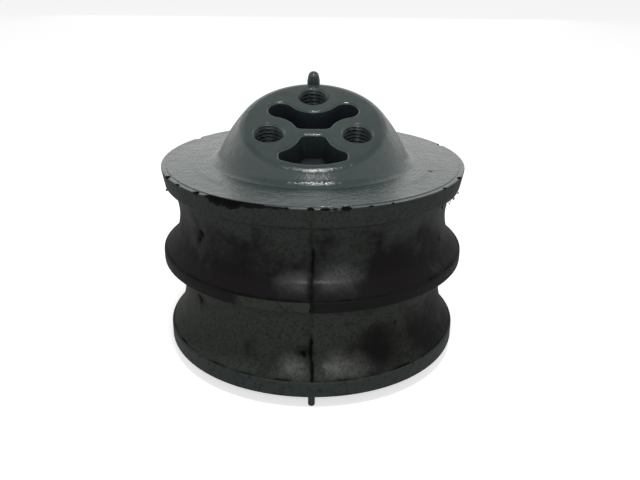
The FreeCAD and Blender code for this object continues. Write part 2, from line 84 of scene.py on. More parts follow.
TURN = 2 * math.pi
WHITE = (1.0, 1.0, 1.0)
RIM_ROUNDING = 0.8 * MM
SEAM_REACH = math.radians(2.2)
NARROWEST_COLUMN = math.radians(0.02)
MERGED_WITHIN = 0.002 * MM
SHORTEST_EDGE = 0.001 * MM
RAY_LIFT = 0.3 * MM

Socket = bpy.types.NodeSocket
Tree = bpy.types.NodeTree
Mesh = bpy.types.Mesh
Material = bpy.types.Material
Piece = bpy.types.Object
Array = np.ndarray
Triple = tuple[float, float, float]


class Slot(Enum):
    """The names of the record's material slots, one for each kind of dressed piece."""

    CASTING = "painted_casting"
    RUBBER = "rubber"
    PLATE = "painted_plate"


# ---------------------------------------------------------------------------------------------
# Node graphs
# ---------------------------------------------------------------------------------------------


class Graph:
    """A node tree with short calls that add nodes and join them."""

    def __init__(self, tree: Tree) -> None:
        """Wraps a tree."""
        self.tree = tree

    def feed(self, socket: Socket, value: object) -> None:
        """Joins a socket to another one, or sets its plain value.

        Args:
            socket: the input socket.
            value: an output socket, a number, a vector or a colour.
        """
        if isinstance(value, Socket):
            self.tree.links.new(value, socket)
        elif socket.type == "RGBA":
            socket.default_value = (*value, 1.0)
        else:
            socket.default_value = value

    def node(self, kind: str, feeds: dict[int | str, object] | None = None,
             **settings: object) -> bpy.types.Node:
        """Adds a node.

        Args:
            kind: Blender's name for the node type.
            feeds: what goes into its inputs, by name or number.
            settings: properties of the node to set.

        Returns:
            The new node.
        """
        made = self.tree.nodes.new(kind)
        for name, value in settings.items():
            setattr(made, name, value)
        for key, value in (feeds or {}).items():
            self.feed(made.inputs[key], value)
        return made

    def maths(self, operation: str, *values: object) -> Socket:
        """The result of a Math node, with its inputs in order."""
        return self.node("ShaderNodeMath", dict(enumerate(values)), operation=operation).outputs[0]

    def times(self, first: object, second: object) -> Socket:
        """One value times another."""
        return self.maths("MULTIPLY", first, second)

    def scaled(self, value: object, factor: object, start: object) -> Socket:
        """A value times a factor, plus a start."""
        return self.maths("MULTIPLY_ADD", value, factor, start)

    def vector(self, operation: str, *values: object) -> Socket:
        """The result of a Vector Math node, with its inputs in order."""
        made = self.node("ShaderNodeVectorMath", dict(enumerate(values)), operation=operation)
        return made.outputs["Value" if operation in ("LENGTH", "DOT_PRODUCT") else "Vector"]

    def flat(self, place: object) -> Socket:
        """A place moved straight to the height of the origin."""
        return self.vector("MULTIPLY", place, (1.0, 1.0, 0.0))

    def height(self, place: object) -> Socket:
        """The height of a place."""
        return self.node("ShaderNodeSeparateXYZ", {0: place}).outputs["Z"]

    def blend(self, factor: object, first: object, second: object) -> Socket:
        """Mixes two colours: the first where the factor is 0, the second where it is 1."""
        made = self.node("ShaderNodeMix", {0: factor, 6: first, 7: second}, data_type="RGBA")
        return made.outputs[2]

    def step(self, value: object, low: object, high: object) -> Socket:
        """Rises smoothly from 0 to 1 as a value goes from a low limit to a high one."""
        feeds = {"Value": value, "From Min": low, "From Max": high}
        return self.node("ShaderNodeMapRange", feeds, interpolation_type="SMOOTHSTEP").outputs[0]

    def noise(self, place: object, scale: object, detail: float = 3.0,
              rough: float = 0.5) -> Socket:
        """Noise with so many lumps to the metre, octaves of finer ones, and their strength."""
        feeds = {"Vector": place, "Scale": scale, "Detail": detail, "Roughness": rough}
        return self.node("ShaderNodeTexNoise", feeds).outputs["Fac"]


class Group(Graph):
    """A node group in the making, which gives its inputs by name."""

    def __init__(self, name: str, kind: str, inputs: dict[str, str]) -> None:
        """Starts the group.

        Args:
            name: the group's name.
            kind: Shader or Geometry.
            inputs: each input's socket type.
        """
        super().__init__(bpy.data.node_groups.new(name, f"{kind}NodeTree"))
        for label, socket in inputs.items():
            self.tree.interface.new_socket(label, in_out="INPUT", socket_type=f"NodeSocket{socket}")
        self.given = self.node("NodeGroupInput").outputs

    def __getitem__(self, label: str) -> Socket:
        """The input of that name."""
        return self.given[label]

    def give(self, label: str, value: Socket, socket: str = "Float") -> Tree:
        """Puts out the group's one result.

        Args:
            label: the result's name.
            value: the result.
            socket: its socket type.

        Returns:
            The finished tree.
        """
        self.tree.interface.new_socket(label, in_out="OUTPUT", socket_type=f"NodeSocket{socket}")
        self.node("NodeGroupOutput", {label: value})
        return self.tree


class Effect(Enum):
    """The shader groups that the finishes use."""

    GRAIN = "skin_grain"
    FLECKS = "flecks"
    SCAR = "scar"
    RINGS = "turned_rings"

    def start(self, *numbers: str, vectors: tuple[str, ...] = ("Place",)) -> Group:
        """Starts the effect's group, with the names of its inputs."""
        inputs = dict.fromkeys(vectors, "Vector") | dict.fromkeys(numbers, "Float")
        return Group(self.value, "Shader", inputs)


def build_grain() -> None:
    """Builds the height of a cast or moulded skin: broad waves with a fine grain on them."""
    group = Effect.GRAIN.start("Wave Scale", "Grain Scale", "Grain Share")
    waves = group.noise(group["Place"], group["Wave Scale"], 2.0)
    grain = group.noise(group["Place"], group["Grain Scale"], 3.0, 0.65)
    group.give("Height", group.maths("ADD", waves, group.times(grain, group["Grain Share"])))


def build_flecks() -> None:
    """Builds scattered specks or patches: 1 inside them and 0 outside."""
    group = Effect.FLECKS.start("Scale", "Cover", "Softness")
    spots = group.noise(group["Place"], group["Scale"], 5.0, 0.62)
    edge = group.maths("SUBTRACT", 1.0, group["Cover"])
    low = group.maths("SUBTRACT", edge, group["Softness"])
    high = group.maths("ADD", edge, group["Softness"])
    group.give("Mask", group.step(spots, low, high))


def build_scar() -> None:
    """Builds one small mark at a place: 1 inside it, with an uneven edge."""
    group = Effect.SCAR.start("Radius", "Uneven", "Lumps", "Core",
                              vectors=("Place", "Centre", "Stretch"))
    offset = group.vector("SUBTRACT", group["Place"], group["Centre"])
    away = group.vector("LENGTH", group.vector("MULTIPLY", offset, group["Stretch"]))
    uneven = group.maths("SUBTRACT", group.noise(group["Place"], group["Lumps"]), 0.5)
    reach = group.scaled(uneven, group["Uneven"], away)
    past = group.step(reach, group.times(group["Radius"], group["Core"]), group["Radius"])
    group.give("Mask", group.maths("SUBTRACT", 1.0, past))


def build_rings() -> None:
    """Builds the height of shallow turned rings about the Z axis, between two radii."""
    group = Effect.RINGS.start("Pitch", "Inner", "Outer")
    radius = group.vector("LENGTH", group.flat(group["Place"]))
    drift = group.times(group.noise(group["Place"], 28.0, 1.0), 2.2 * MM)
    turns = group.maths("DIVIDE", group.maths("ADD", radius, drift), group["Pitch"])
    wave = group.maths("SINE", group.times(turns, TURN))
    inside, past = (group.step(radius, group[side], group.maths("ADD", group[side], 3.0 * MM))
                    for side in ("Inner", "Outer"))
    shown = group.times(inside, group.maths("SUBTRACT", 1.0, past))
    group.give("Height", group.times(wave, shown))


# ---------------------------------------------------------------------------------------------
# Finishes
# ---------------------------------------------------------------------------------------------


class Look(Graph):
    """A material's graph, with its shader and the object's own coordinates."""

    def __init__(self, name: str) -> None:
        """Makes the material.

        Args:
            name: its name.
        """
        self.material = bpy.data.materials.new(name)
        self.material.use_nodes = True
        super().__init__(self.material.node_tree)
        self.shader = self.tree.nodes["Principled BSDF"]

    @cached_property
    def place(self) -> Socket:
        """The object's own coordinates."""
        return self.node("ShaderNodeTexCoord").outputs["Object"]

    def dress(self, **inputs: object) -> None:
        """Sets or feeds the shader's inputs, by name with _ for a space."""
        for name, value in inputs.items():
            self.feed(self.shader.inputs[name.replace("_", " ")], value)

    def mark(self, name: str) -> Socket:
        """The value of a point attribute."""
        return self.node("ShaderNodeAttribute", attribute_name=name).outputs["Fac"]

    def effect(self, effect: Effect, **values: object) -> Socket:
        """Places a shared effect on the object's own coordinates.

        Args:
            effect: which one.
            values: its other inputs by name, with _ for a space.

        Returns:
            What it puts out.
        """
        feeds = {name.replace("_", " "): value for name, value in values.items()}
        return self.node("ShaderNodeGroup", {"Place": self.place, **feeds},
                         node_tree=bpy.data.node_groups[effect.value]).outputs[0]


@dataclass(frozen=True)
class Finish:
    """What every finish has: a name, a roughness, a specular level and the depth of its grain."""

    name: str
    roughness: float = 0.5
    specular: float = 0.5
    depth: float = 0.1 * MM

    def build(self) -> Material:
        """Makes the material.

        Returns:
            The material.
        """
        look = Look(self.name)
        look.dress(Roughness=self.roughness, Specular_IOR_Level=self.specular)
        bump = look.node("ShaderNodeBump", {"Distance": self.depth, "Height": self.paint(look)})
        look.dress(Normal=bump.outputs["Normal"])
        return look.material

    def paint(self, look: Look) -> Socket:
        """Feeds the shader and gives the skin's height, in units of the finish's depth."""
        raise NotImplementedError


@dataclass(frozen=True)
class Nick:
    """A mark in the paint on top of the flange: its place and half length in millimetres.

    It is as many times narrower along Y, and thinner along Z, as the other two values say.
    """

    x: float
    y: float
    half: float
    narrow: float = 1.0
    thin: float = 1.0
    z: float = 88.0


@dataclass(frozen=True, kw_only=True)
class CastingPaint(Finish):
    """Glossy grey-green paint over a casting, with painted shade down in its cored pockets and on the
    flange's rim inside the lip.
    """

    roughness: float = 0.23
    specular: float = 0.55
    depth: float = 0.26 * MM
    face: Vector
    lean: Vector
    nicks: tuple[Nick, ...]
    colour: Triple = (0.036, 0.055, 0.051)
    thin: Triple = (0.029, 0.045, 0.042)
    pocket_shade: Triple = (0.0015, 0.004, 0.009)
    pocket_shade_fleck: Triple = (0.009, 0.016, 0.026)
    rim_shade_and_chip: Triple = (0.004, 0.004, 0.004)
    # The depths below the bolting face over which the pockets' painted shade comes in.
    pocket_start: float = 0.5 * MM
    pocket_dark: float = 2.4 * MM
    face_reach: float = 42.0 * MM
    rim_radius: float = 69.4 * MM
    rim_top: float = 87.6 * MM
    wear: float = 0.20
    pocket_matt: float = 0.5
    nick_matt: float = 0.6
    face_calm: float = 0.7
    ring_share: float = 0.11

    def nicked(self, look: Look) -> object:
        """Masks the nicks.

        Args:
            look: the material's graph.

        Returns:
            The mask, 1 inside them.
        """
        mask: object = 0.0
        for nick in self.nicks:
            centre = (nick.x * MM, nick.y * MM, nick.z * MM)
            inside = look.effect(Effect.SCAR, Centre=centre, Stretch=(1.0, nick.narrow, nick.thin),
                                 Radius=nick.half * MM, Uneven=1.2 * MM, Lumps=1500.0, Core=0.55)
            mask = look.maths("MAXIMUM", mask, inside)
        return mask

    def paint(self, look: Look) -> Socket:
        """Paints the casting, the painted shade in its pockets and on the rim inside the rubber lip,
        and the nicks.

        Args:
            look: the material's graph.

        Returns:
            The skin's height.
        """
        blotches = look.step(look.noise(look.place, 60.0, 4.0), 0.35, 0.68)
        colour = look.blend(blotches, self.colour, self.thin)

        # Painted shade: below the bolting face, inside the cored hollows, the paint turns near black
        # with blue flecks, standing for the shade deep in the pockets.
        from_face = look.vector("SUBTRACT", look.place, tuple(self.face))
        above = look.vector("DOT_PRODUCT", from_face, tuple(self.lean))
        sunk = look.step(look.times(above, -1.0), self.pocket_start, self.pocket_dark)
        in_pocket = look.times(sunk, look.mark("cored"))
        shade_speckle = look.effect(Effect.FLECKS, Scale=900.0, Cover=0.36, Softness=0.05)
        colour = look.blend(in_pocket, colour, look.blend(shade_speckle, self.pocket_shade, self.pocket_shade_fleck))

        # Painted shade: the flange's rim side below the lip's top, seen through the tears, is painted
        # near black for the shaded gap behind the torn rubber.
        radius = look.vector("LENGTH", look.flat(look.place))
        beyond = look.maths("GREATER_THAN", radius, self.rim_radius)
        below = look.maths("LESS_THAN", look.height(look.place), self.rim_top)
        colour = look.blend(look.times(beyond, below), colour, self.rim_shade_and_chip)
        nicked = self.nicked(look)

        rough = look.scaled(look.noise(look.place, 220.0), self.wear,
                            self.roughness - self.wear / 2)
        rough = look.scaled(nicked, self.nick_matt, rough)
        # The nicks take the same near black, as real chips in the paint.
        look.dress(Base_Color=look.blend(nicked, colour, self.rim_shade_and_chip),
                   Roughness=look.scaled(in_pocket, self.pocket_matt, rough))

        skin = look.effect(Effect.GRAIN, Wave_Scale=240.0, Grain_Scale=900.0, Grain_Share=0.55)
        rings = look.effect(Effect.RINGS, Pitch=2.1 * MM, Inner=46.0 * MM, Outer=56.0 * MM)
        machined = look.times(look.step(above, -0.9 * MM, -0.1 * MM),
                              look.maths("LESS_THAN", radius, self.face_reach))
        calm = look.scaled(machined, -self.face_calm, 1.0)
        height = look.scaled(skin, calm, look.times(rings, self.ring_share))
        return look.maths("SUBTRACT", height, nicked)


@dataclass(frozen=True)
class Spot:
    """A patch on a neck: its angle in degrees, its height and reach in millimetres.

    It is as many times lower than it is wide as its squeeze says.
    """

    angle: float
    height: float
    reach: float
    squeeze: float


@dataclass(frozen=True, kw_only=True)
class RubberSkin(Finish):
    """Black rubber, dusted unevenly with the paint's overspray, stained, and raw where torn; painted
    shade darkens the necks' hollows and one side, and lines along their foot and mouth.
    """

    cover: float
    lighter_side: Triple
    lighter_side_gain: float
    spray_level: float
    spray_rise: float
    stains_and_shade: tuple[Spot, ...]
    sheens: tuple[Spot, ...]
    black: Triple = (0.0052, 0.0041, 0.0047)
    dusted: Triple = (0.029, 0.034, 0.030)
    # Raw rubber, also the near black of the painted shade lines and tears.
    raw_and_shade: Triple = (0.0020, 0.0020, 0.0020)
    speck_share: float = 0.45
    stain_and_shade_strength: float = 0.92
    torn_matt: float = 0.3
    sheen_level: float = 0.62
    sheen_specks: float = 0.35
    sheen_roughness: float = 0.30
    girth: float = 66.0 * MM

    def patches(self, look: Look, spots: tuple[Spot, ...]) -> object:
        """Masks patches of the neck.

        Args:
            look: the material's graph.
            spots: the patches.

        Returns:
            The mask, 1 inside them.
        """
        mask: object = 0.0
        for spot in spots:
            turned = math.radians(spot.angle)
            centre = (self.girth * math.sin(turned), -self.girth * math.cos(turned),
                      spot.height * MM)
            inside = look.effect(Effect.SCAR, Centre=centre, Stretch=(1.0, 1.0, spot.squeeze),
                                 Radius=spot.reach * MM, Uneven=spot.reach * 0.9 * MM,
                                 Lumps=1900.0 / spot.reach, Core=0.1)
            mask = look.maths("MAXIMUM", mask, inside)
        return mask

    def paint(self, look: Look) -> Socket:
        """Dusts, stains and tears the rubber, and paints its shade.

        Args:
            look: the material's graph.

        Returns:
            The skin's height.
        """
        # Painted light and shade: the dust covers more towards the lighter side, so the neck reads
        # lighter there and darker, as in shade, away from it.
        outward = look.vector("NORMALIZE", look.flat(look.place))
        toward_lighter_side = look.vector("DOT_PRODUCT", outward, self.lighter_side)
        cover = look.scaled(toward_lighter_side, self.lighter_side_gain, self.cover)
        above = look.maths("SUBTRACT", look.height(look.place), self.spray_level)
        cover = look.scaled(above, self.spray_rise, cover)
        clouds = look.effect(Effect.FLECKS, Scale=55.0, Cover=cover, Softness=0.12)
        specks = look.effect(Effect.FLECKS, Scale=780.0, Cover=0.54, Softness=0.10)
        dust_and_shade = look.times(clouds, look.scaled(specks, self.speck_share, 1.0 - self.speck_share))
        # Painted shade: most stains are dark patches in the hollow of the necks and on their shaded
        # sides; the small ones are real tears and smudges.
        stained = self.patches(look, self.stains_and_shade)
        dust_and_shade = look.times(dust_and_shade, look.scaled(stained, -self.stain_and_shade_strength, 1.0))
        # The mask below blackens raw rubber, and also the painted shade along the necks' foot and
        # mouth and in the lip's tears.
        raw_and_shade_mask = look.mark("raw_and_shade_mask")
        colour = look.blend(dust_and_shade, self.black, self.dusted)
        patchy = look.scaled(specks, self.sheen_specks, self.sheen_level)
        look.dress(Base_Color=look.blend(raw_and_shade_mask, colour, self.raw_and_shade),
                   Roughness=look.scaled(raw_and_shade_mask, self.torn_matt, self.roughness),
                   Coat_Weight=look.times(self.patches(look, self.sheens), patchy),
                   Coat_Roughness=self.sheen_roughness)
        return look.effect(Effect.GRAIN, Wave_Scale=210.0, Grain_Scale=900.0, Grain_Share=0.7)


# The large stains are painted shade in the necks' hollows and shaded sides; the small ones are real
# tears and smudges.
UPPER_SKIN = RubberSkin(
    "upper_spring_rubber", roughness=0.58, specular=0.09, depth=0.26 * MM, cover=0.45,
    lighter_side=(0.25, -0.97, 0.0), lighter_side_gain=0.03, spray_level=62 * MM, spray_rise=13.0,
    stains_and_shade=(Spot(-27.0, 58.0, 20.0, 1.5), Spot(35.0, 58.0, 24.0, 1.8),
            Spot(-49.5, 64.0, 6.0, 0.8), Spot(140.0, 58.0, 24.0, 1.8),
            Spot(-130.0, 56.0, 20.0, 1.8)),
    sheens=(Spot(-7.0, 53.5, 11.0, 1.5), Spot(10.0, 54.0, 13.0, 1.6)))
LOWER_SKIN = RubberSkin(
    "lower_spring_rubber", roughness=0.60, specular=0.07, depth=0.22 * MM, cover=0.57,
    dusted=(0.034, 0.039, 0.032),
    lighter_side=(-0.85, -0.5, 0.0), lighter_side_gain=0.17, spray_level=22 * MM, spray_rise=5.0,
    stains_and_shade=(Spot(27.0, 19.0, 25.0, 2.0), Spot(56.0, 18.0, 32.0, 1.6), Spot(-53.0, 31.0, 7.0, 0.8),
            Spot(-3.0, 19.0, 6.0, 1.2), Spot(165.0, 20.0, 26.0, 1.9),
            Spot(-115.0, 17.0, 14.0, 1.6)),
    sheens=(Spot(-8.0, 12.5, 9.0, 1.4), Spot(12.0, 13.0, 14.0, 1.8)))


@dataclass(frozen=True)
class PlatePaint(Finish):
    """Thin dark paint on a pressed plate, with rubber film left on it where "bare" is 0."""

    roughness: float = 0.55
    specular: float = 0.09
    depth: float = 0.15 * MM
    painted: Triple = (0.031, 0.038, 0.036)
    film: Triple = (0.0055, 0.0055, 0.0058)
    speck_share: float = 0.5

    def paint(self, look: Look) -> Socket:
        """Paints the plate, specked with rubber.

        Args:
            look: the material's graph.

        Returns:
            The skin's height.
        """
        specks = look.effect(Effect.FLECKS, Scale=420.0, Cover=0.42, Softness=0.08)
        stained = look.blend(look.times(specks, self.speck_share), self.painted, self.film)
        look.dress(Base_Color=look.blend(look.mark("bare"), self.film, stained))
        return look.effect(Effect.GRAIN, Wave_Scale=200.0, Grain_Scale=1600.0, Grain_Share=0.4)


@dataclass(frozen=True)
class OiledSteel(Finish):
    """Dark oiled steel, as cut by a tap or left on a dowel."""

    colour: Triple = (0.030, 0.040, 0.041)
    stain: Triple = (0.008, 0.011, 0.012)
    metallic: float = 0.55

    def paint(self, look: Look) -> Socket:
        """Stains the steel.

        Args:
            look: the material's graph.

        Returns:
            The skin's height.
        """
        spots = look.effect(Effect.FLECKS, Scale=500.0, Cover=0.5, Softness=0.15)
        look.dress(Base_Color=look.blend(spots, self.colour, self.stain), Metallic=self.metallic)
        return look.effect(Effect.GRAIN, Wave_Scale=400.0, Grain_Scale=2500.0, Grain_Share=0.5)


# ---------------------------------------------------------------------------------------------
# Meshes
# ---------------------------------------------------------------------------------------------


def add_object(name: str, data: bpy.types.ID) -> Piece:
    """Puts a mesh, a light or a camera in the scene as an object at the origin.

    Args:
        name: the object's name.
        data: what it holds.

    Returns:
        The object.
    """
    piece = bpy.data.objects.new(name, data)
    bpy.context.scene.collection.objects.link(piece)
    return piece


def new_mesh(name: str, points: Iterable, faces: Iterable) -> Mesh:
    """Makes a mesh.

    Args:
        name: the mesh's name.
        points: its points.
        faces: the numbers of each face's points.

    Returns:
        The mesh.
    """
    mesh = bpy.data.meshes.new(name)
    mesh.from_pydata([tuple(point) for point in points], [], list(faces))
    return mesh


def points_and_faces(mesh: Mesh) -> tuple[list[Vector], list[tuple[int, ...]]]:
    """A mesh's points, and the numbers of each face's points."""
    return [v.co for v in mesh.vertices], [tuple(p.vertices) for p in mesh.polygons]


def mark(mesh: Mesh, name: str, values: object) -> None:
    """Gives a mesh's points an attribute, from one value for each point or one for all."""
    spread = np.broadcast_to(values, len(mesh.vertices)).astype(np.float32)
    mesh.attributes.new(name, "FLOAT", "POINT").data.foreach_set("value", spread)


def smooth(mesh: Mesh, crease: float) -> None:
    """Shades a mesh smoothly, apart from edges that turn by more than an angle in degrees."""
    mesh.shade_smooth()
    mesh.set_sharp_from_angle(angle=math.radians(crease))


def modified(piece: Piece) -> Mesh:
    """A new mesh, as a piece's modifiers make it."""
    ready = piece.evaluated_get(bpy.context.evaluated_depsgraph_get())
    return bpy.data.meshes.new_from_object(ready)


def apply_modifiers(piece: Piece) -> None:
    """Gives a piece the mesh that its modifiers make, and takes them off.

    Args:
        piece: the piece.
    """
    mesh = modified(piece)
    piece.modifiers.clear()
    piece.data = mesh


def shade_solid(piece: Piece) -> None:
    """Shades a copied solid, with normals weighed by the faces' size, so that flats stay flat.

    Args:
        piece: the copy.
    """
    smooth(piece.data, crease=32)
    piece.modifiers.new("flat_faces", "WEIGHTED_NORMAL").keep_sharp = True
    apply_modifiers(piece)


def finish_with(piece: Piece, material: Material, slot: Slot, *nodes: str) -> None:
    """Gives a piece its finish and its body, and lets it stand for its solids.

    Args:
        piece: the finished object.
        material: its finish, where it has none yet.
        slot: the record's slot for its finish; not used.
        nodes: the solids that it replaces.
    """
    if not piece.data.materials:
        piece.data.materials.append(material)
    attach(piece, BODY)
    if nodes:
        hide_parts(*nodes)
    triangles = sum(len(face.vertices) - 2 for face in piece.data.polygons)
    LOG.info("%s: %d triangles", piece.name, triangles)


def solid_copy(node: Piece, name: str) -> Piece:
    """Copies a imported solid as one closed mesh.

    Args:
        node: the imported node, a shell of loose triangles.
        name: the copy's name.

    Returns:
        The copy.
    """
    mesh = new_mesh(name, *points_and_faces(node.data))
    shape = bmesh.new()
    shape.from_mesh(mesh)
    bmesh.ops.remove_doubles(shape, verts=shape.verts, dist=MERGED_WITHIN)
    bmesh.ops.dissolve_degenerate(shape, edges=shape.edges, dist=SHORTEST_EDGE)
    shape.to_mesh(mesh)
    shape.free()
    return add_object(name, mesh)


def cored(mesh: Mesh) -> list[float]:
    """Finds the points with metal further out from the axis at their own height.

    Args:
        mesh: a closed mesh.

    Returns:
        1 for each such point and 0 for the others.
    """
    solid = BVHTree.FromPolygons(*points_and_faces(mesh))
    marks = []
    for vertex in mesh.vertices:
        outward = Vector((vertex.co.x, vertex.co.y, 0)).normalized()
        hit = solid.ray_cast(vertex.co + vertex.normal * RAY_LIFT, outward)[0]
        marks.append(0.0 if hit is None else 1.0)
    return marks


def ring_faces(rings: int, across: int, rising: bool) -> list[tuple[int, ...]]:
    """Faces between rings of points, looking outwards.

    Args:
        rings: how many rings there are.
        across: how many points each has.
        rising: whether each ring is above the one before it, or below.

    Returns:
        The numbers of each face's points.
    """
    faces = []
    for near in range(0, (rings - 1) * across, across):
        far = near + across
        for column in range(across):
            beside = (column + 1) % across
            face = (near + column, near + beside, far + beside, far + column)
            faces.append(face if rising else face[:1] + face[:0:-1])
    return faces


# ---------------------------------------------------------------------------------------------
# Turned pieces
# ---------------------------------------------------------------------------------------------


@dataclass
class Grid:
    """The points of a turned piece: the angle, radius and height of each, row by row."""

    angle: Array
    radius: Array
    height: Array

    @property
    def degrees(self) -> Array:
        """The angles in degrees, from -180 to 180."""
        return (np.degrees(self.angle) + 180) % 360 - 180

    def places(self) -> Array:
        """Where the points are, one row each."""
        across, along = self.radius * np.sin(self.angle), -self.radius * np.cos(self.angle)
        return np.stack([across, along, self.height], axis=-1).reshape(-1, 3)

    def ripple(self, size: float, seed: int) -> Array:
        """Smooth noise from about -1 to 1.

        Args:
            size: how far apart the lumps are.
            seed: which noise it is.

        Returns:
            One value for each point.
        """
        shift = Vector((seed * 17.3, seed * 5.1, seed * 11.9))
        values = [noise.noise(Vector(place) / size + shift) for place in self.places()]
        return np.reshape(values, self.angle.shape)


def hill(distance: Array, half: float | Array) -> Array:
    """A smooth hump, 1 at no distance and nearly 0 at twice the half width."""
    return np.exp(-(distance / half) ** 2)


def ramp(distance: Array, width: float) -> Array:
    """Rises from 0 at no distance to 1 at the width."""
    return np.clip(distance / width, 0, 1)


def hollow_curve(start: Vector, end: Vector, radius: float, steps: int) -> list[Vector]:
    """Points along an arc that curves in towards the axis.

    Args:
        start: its foot, as radius and height.
        end: its top.
        radius: the arc's radius.
        steps: how many points follow the start.

    Returns:
        The points after the start, up to the end.
    """
    chord = end - start
    outward = Vector((chord.y, -chord.x)).normalized()
    centre = (start + end) / 2 + outward * math.sqrt(radius ** 2 - (chord.length / 2) ** 2)
    first, last = (math.atan2(point.y - centre.y, point.x - centre.x) % TURN
                   for point in (start, end))
    turns = [first + (last - first) * i / steps for i in range(1, steps + 1)]
    return [centre + Vector((math.cos(a), math.sin(a))) * radius for a in turns]


def straight_line(start: Vector, end: Vector, steps: int) -> list[Vector]:
    """Points along a line, after its start and up to its end."""
    return [start.lerp(end, i / steps) for i in range(1, steps + 1)]


def round_corner(before: Vector, corner: Vector, after: Vector, radius: float) -> list[Vector]:
    """Four points that round a corner of an outline.

    Args:
        before: the outline's point before the corner.
        corner: the corner.
        after: the point after it.
        radius: how far from the corner the rounding starts.

    Returns:
        The points of the rounding.
    """
    into = corner + (before - corner).normalized() * radius
    out = corner + (after - corner).normalized() * radius
    return [(1 - t) ** 2 * into + 2 * t * (1 - t) * corner + t ** 2 * out
            for t in (0, 1 / 3, 2 / 3, 1)]


def seam_columns(count: int, extra: int) -> Array:
    """Angles of a turned piece's columns, closer together at its front and back seams.

    Args:
        count: evenly spaced columns.
        extra: how many more each seam gets.

    Returns:
        The angles, rising from 0.
    """
    even = np.arange(count) * TURN / count
    close = np.linspace(-SEAM_REACH, SEAM_REACH, extra)
    every = np.unique(np.round(np.concatenate([even, close % TURN, math.pi + close]), 6))
    gaps = np.diff(np.append(every, every[0] + TURN))
    return every[gaps > NARROWEST_COLUMN]


def turn(name: str, outline: Sequence[Vector], angles: Array, mask: str,
         shape: Callable[[Grid], tuple[Array, Array]]) -> Piece:
    """Turns an outline about the Z axis into a closed solid.

    Args:
        name: the object's name.
        outline: radius and height of each point, from the axis round to the axis.
        angles: the columns' angles from the front, rising, over one turn.
        mask: the name of the point attribute that takes the mask.
        shape: gives each point's new radius and its value in the mask.

    Returns:
        The object.
    """
    rows = np.array([(p.x, p.y) for p in outline[1:-1]])
    angle, radius = np.meshgrid(angles, rows[:, 0])
    height = np.repeat(rows[:, 1:], len(angles), axis=1)
    moved, shade = shape(Grid(angle, radius, height))
    points = Grid(angle, moved, height).places()
    poles = [(0.0, 0.0, outline[0].y), (0.0, 0.0, outline[-1].y)]
    across, bottom, top = len(angles), len(points), len(points) + 1
    faces = ring_faces(len(rows), across, rising=True)
    for column in range(across):
        beside = (column + 1) % across
        faces.append((bottom, beside, column))
        faces.append((top, bottom - across + column, bottom - across + beside))
    mesh = new_mesh(name, [*points, *poles], faces)
    mark(mesh, mask, np.append(shade, (0.0, 0.0)))
    smooth(mesh, crease=40)
    return add_object(name, mesh)


# ---------------------------------------------------------------------------------------------
# What repeats: pieces set out on points
# ---------------------------------------------------------------------------------------------


def setting_out() -> Tree:
    """Builds the tree that sets a piece at every vertex of a mesh.

    Returns:
        The tree.
    """
    group = Group("set_out", "Geometry", {
        "Points": "Geometry", "Piece": "Object", "Turn": "Vector", "Turn Spread": "Vector",
        "Smallest": "Float", "Largest": "Float", "Seed": "Int", "Finish": "Material"})
    piece = group.node("GeometryNodeObjectInfo", {"Object": group["Piece"]})
    size = group.node("FunctionNodeRandomValue",
                      {2: group["Smallest"], 3: group["Largest"], "Seed": group["Seed"]},
                      data_type="FLOAT")
    least = group.vector("MULTIPLY", group["Turn Spread"], (-1.0, -1.0, -1.0))
    sway = group.node("FunctionNodeRandomValue",
                      {0: least, 1: group["Turn Spread"], "Seed": group["Seed"]},
                      data_type="FLOAT_VECTOR")
    setter = group.node("GeometryNodeInstanceOnPoints", {
        "Points": group["Points"], "Instance": piece.outputs["Geometry"],
        "Rotation": group.vector("ADD", group["Turn"], sway.outputs[0]),
        "Scale": size.outputs[1]})
    real = group.node("GeometryNodeRealizeInstances", {"Geometry": setter.outputs["Instances"]})
    dress = group.node("GeometryNodeSetMaterial",
                       {"Geometry": real.outputs["Geometry"], "Material": group["Finish"]})
    return group.give("Pieces", dress.outputs["Geometry"], "Geometry")


def set_out(tree: Tree, name: str, places: Iterable[Vector], piece: Piece,
            **inputs: object) -> Piece:
    """Runs the setting-out tree and keeps its result as a plain mesh.

    Args:
        tree: the tree.
        name: the result's name.
        places: where the pieces go.
        piece: what is set there; it is removed afterwards.
        inputs: the tree's other inputs by name, with _ for a space.

    Returns:
        The result.
    """
    carrier = add_object(name + "_carrier", new_mesh(name + "_points", places, []))
    modifier = carrier.modifiers.new("set_out", "NODES")
    modifier.node_group = tree
    values = {"Piece": piece, "Smallest": 1.0, "Largest": 1.0,
              **{key.replace("_", " "): value for key, value in inputs.items()}}
    for item in tree.interface.items_tree:
        if item.in_out == "INPUT" and item.name in values:
            modifier[item.identifier] = values[item.name]
    mesh = modified(carrier)
    bpy.data.objects.remove(carrier)
    bpy.data.objects.remove(piece)
    return add_object(name, mesh)


# ---------------------------------------------------------------------------------------------
# Sub-assemblies
# ---------------------------------------------------------------------------------------------


